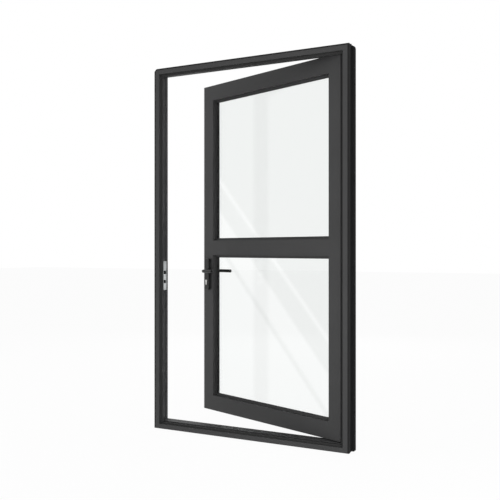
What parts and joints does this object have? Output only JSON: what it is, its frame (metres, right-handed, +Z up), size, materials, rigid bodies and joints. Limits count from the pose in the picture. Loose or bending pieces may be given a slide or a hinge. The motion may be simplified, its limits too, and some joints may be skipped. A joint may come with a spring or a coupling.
{
  "type": "glazed entrance door with frame",
  "caption": "Glazed aluminium entrance door, hinged on the right in its own frame and standing ajar, with an upper and a lower pane, lever handles, latch, bolt and key cylinder.",
  "frame": {"origin": "under the middle of the sill, on the plane halfway through the closed leaf, at the foot of the frame", "axes": "+X to the right seen from outside, +Y from the outer face towards the inside, +Z up the frame"},
  "size_m": [1.216, 0.4998, 2.108],
  "materials": {
    "powder_coat": "fine matt dark grey powder coat",
    "hinge_coat": "dark grey powder coat",
    "black_handle": "satin black coating",
    "thermal_break": "matt black polyamide",
    "rubber": "matt black rubber",
    "joint_foam": "open foam, matt dark grey",
    "glass": "clear float glass",
    "spacer": "black warm-edge spacer with sealant",
    "setting_plastic": "matt moulded plastic",
    "brush_seal": "black brush in a black carrier",
    "steel": "brushed stainless steel",
    "cylinder_nickel": "satin nickel plating",
    "cleat_aluminium": "plain cast aluminium"
  },
  "bodies": {
    "frame": {"left_jamb_front_shell": "powder_coat", "left_jamb_thermal_break": "thermal_break", "left_jamb_rear_shell": "powder_coat", "right_jamb_front_shell": "powder_coat", "right_jamb_thermal_break": "thermal_break", "right_jamb_rear_shell": "powder_coat", "head_front_shell": "powder_coat", "head_thermal_break": "thermal_break", "head_rear_shell": "powder_coat", "sill_front_shell": "powder_coat", "sill_thermal_break": "thermal_break", "sill_rear_shell": "powder_coat", "corner_cleats": "cleat_aluminium", "stop_gasket": "rubber", "ledge_seal": "rubber", "joint_tape": "joint_foam", "strike_plate": "steel", "strike_screws": "steel", "hinge_frame_wings": "hinge_coat", "hinge_pins": "steel"},
    "leaf": {"hinge_leaf_wings": "hinge_coat", "lock_stile_front_shell": "powder_coat", "lock_stile_rear_shell": "powder_coat", "hinge_stile_front_shell": "powder_coat", "hinge_stile_rear_shell": "powder_coat", "top_rail_front_shell": "powder_coat", "top_rail_rear_shell": "powder_coat", "mid_rail_front_shell": "powder_coat", "mid_rail_rear_shell": "powder_coat", "bottom_rail_front_shell": "powder_coat", "bottom_rail_rear_shell": "powder_coat", "stile_thermal_breaks": "thermal_break", "rail_thermal_breaks": "thermal_break", "upper_outer_pane": "glass", "upper_inner_pane": "glass", "upper_spacer": "spacer", "upper_glazing_gasket": "rubber", "upper_glazing_beads": "powder_coat", "lower_outer_pane": "glass", "lower_inner_pane": "glass", "lower_spacer": "spacer", "lower_glazing_gasket": "rubber", "lower_glazing_beads": "powder_coat", "setting_blocks": "setting_plastic", "bottom_seal": "brush_seal", "lock_case": "steel", "lock_faceplate": "steel", "outer_backplate": "black_handle", "inner_backplate": "black_handle", "handle_bolts": "steel", "cylinder_body": "cylinder_nickel"},
    "handle": {"outer_lever": "black_handle", "inner_lever": "black_handle", "spindle": "steel", "lock_follower": "steel"},
    "latch": {"latch_bolt": "steel"},
    "dead_bolt": {"dead_bolt": "steel"},
    "outer_key": {"outer_key_plug": "cylinder_nickel", "cylinder_cam": "cylinder_nickel"},
    "inner_key": {"inner_key_plug": "cylinder_nickel"}
  },
  "joints": [
    {"name": "leaf_swing", "type": "hinge", "parent": "frame", "child": "leaf", "pos_m": [0.557, 0.0325, 1.054], "axis": [0, 0, -1], "range_deg": [-20, 80]},
    {"name": "lever_turn", "type": "hinge", "parent": "leaf", "child": "handle", "pos_m": [-0.45865, 0.36758, 0.91], "axis": [0.342, 0.9397, 0], "range_deg": [0, 45], "stiffness_Nm_per_rad": 1, "springref_deg": -51.57},
    {"name": "latch_slide", "type": "slide", "parent": "leaf", "child": "latch", "axis": [0.9397, -0.342, 0], "range_m": [0, 0.012]},
    {"name": "key_turn", "type": "hinge", "parent": "leaf", "child": "outer_key", "pos_m": [-0.45865, 0.36758, 0.848], "axis": [0.342, 0.9397, 0], "range_deg": [0, 360]},
    {"name": "dead_bolt_slide", "type": "slide", "parent": "leaf", "child": "dead_bolt", "axis": [-0.9397, 0.342, 0], "range_m": [0, 0.02]},
    {"name": "inner_key_turn", "type": "hinge", "parent": "leaf", "child": "inner_key", "pos_m": [-0.45865, 0.36758, 0.848], "axis": [0.342, 0.9397, 0], "range_deg": [0, 360]}
  ],
  "couplings": [
    {"joint": "latch_slide", "follows": "lever_turn", "m_per_rad": 0.015279},
    {"joint": "dead_bolt_slide", "follows": "key_turn", "m_per_rad": 0.0031831}
  ]
}
